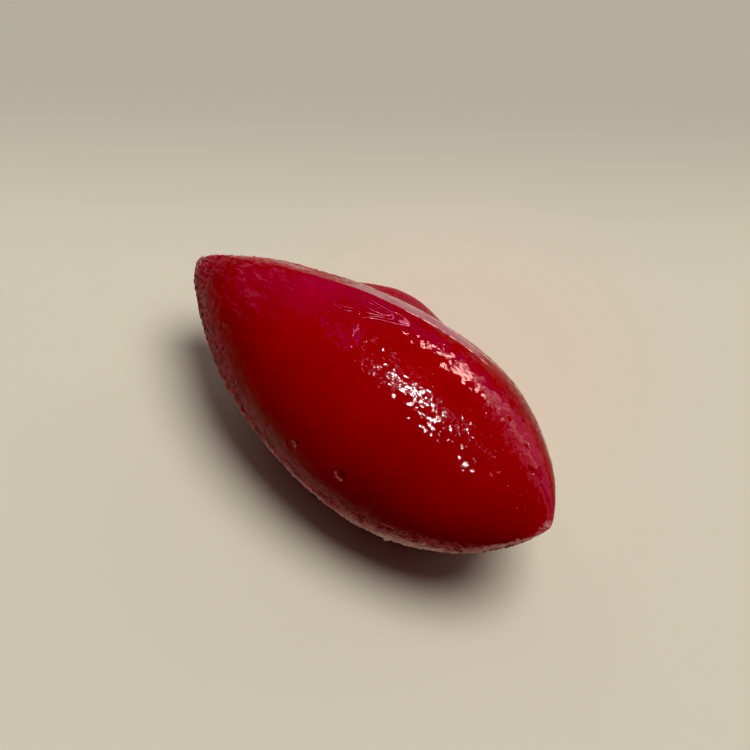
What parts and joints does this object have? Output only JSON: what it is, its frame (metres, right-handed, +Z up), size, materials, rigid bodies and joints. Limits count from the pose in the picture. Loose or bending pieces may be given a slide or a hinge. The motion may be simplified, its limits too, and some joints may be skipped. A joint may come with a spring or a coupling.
{
  "type": "sorbet quenelle",
  "caption": "Quenelle of red fruit sorbet: a spoon-rolled, almond-shaped scoop with pointed tips and a wet skin, lying on its flattened underside.",
  "frame": {"origin": "middle of the footprint, on the surface that the scoop rests on", "axes": "+X along the scoop, from the narrow tip to the full tip; +Y to the back, where the roll closed on itself; +Z up"},
  "size_m": [0.072, 0.0338, 0.0274],
  "materials": {
    "sorbet": "wet, deep red, nearly mirror-smooth with torn grain at the tips"
  },
  "bodies": {
    "root": {"sorbet_quenelle": "sorbet"}
  },
  "joints": []
}
